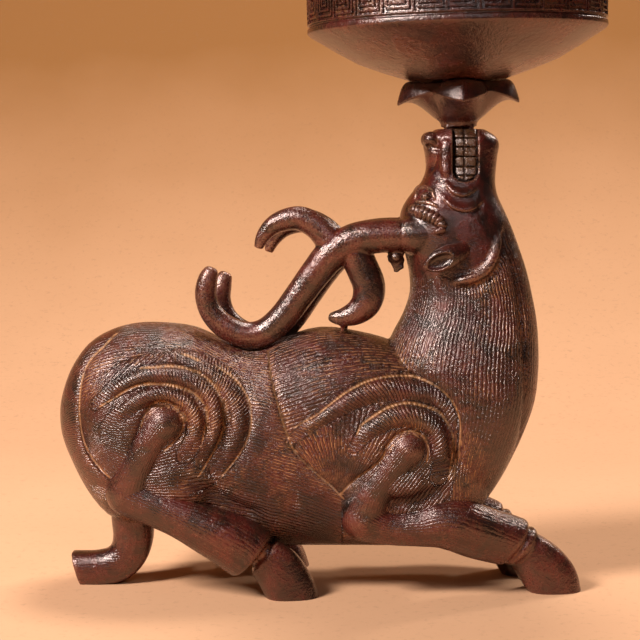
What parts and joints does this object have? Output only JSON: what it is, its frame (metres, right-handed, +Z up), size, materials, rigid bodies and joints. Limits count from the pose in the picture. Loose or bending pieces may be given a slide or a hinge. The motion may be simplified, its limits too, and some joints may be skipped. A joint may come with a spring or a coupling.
{
  "type": "hill censer",
  "caption": "Recumbent horned beast with its muzzle raised, carrying an incense bowl on a petalled stem under a pierced hill-shaped lid that lifts off.",
  "frame": {"origin": "centre of the footprint box, on the surface that the hooves and tail stand on", "axes": "+Z up, +X towards the beast's chest, +Y towards its left side"},
  "size_m": [0.1952, 0.106, 0.2825],
  "materials": {
    "bronze": "dark brown and red patinated bronze, pitted and glossy",
    "worn_bronze": "rubbed brown bronze with ochre in the recesses"
  },
  "bodies": {
    "beast": {"trunk_casting": "bronze", "neck_and_head_casting": "bronze", "tail": "bronze", "belly_plate": "worn_bronze", "antler_right": "worn_bronze", "antler_left": "worn_bronze", "ear_right": "bronze", "ear_left": "bronze", "fore_leg_right": "bronze", "fore_leg_left": "bronze", "hind_leg_right": "bronze", "hind_leg_left": "bronze", "belly_plate_rivet_1": "worn_bronze", "belly_plate_rivet_2": "worn_bronze", "belly_plate_rivet_3": "worn_bronze", "belly_plate_rivet_4": "worn_bronze"},
    "bowl_unit": {"calyx_stem": "bronze", "bowl": "bronze", "bowl_rivet_washer": "worn_bronze", "bowl_rivet": "worn_bronze"},
    "lid": {"lid_mountain": "bronze"}
  },
  "joints": [
    {"name": "bowl_lift", "type": "slide", "parent": "beast", "child": "bowl_unit", "axis": [-0.0271, 0, 0.9996], "range_m": [0, 0.03]},
    {"name": "lid_lift", "type": "slide", "parent": "bowl_unit", "child": "lid", "axis": [-0.0271, 0, 0.9996], "range_m": [0, 0.08]}
  ]
}
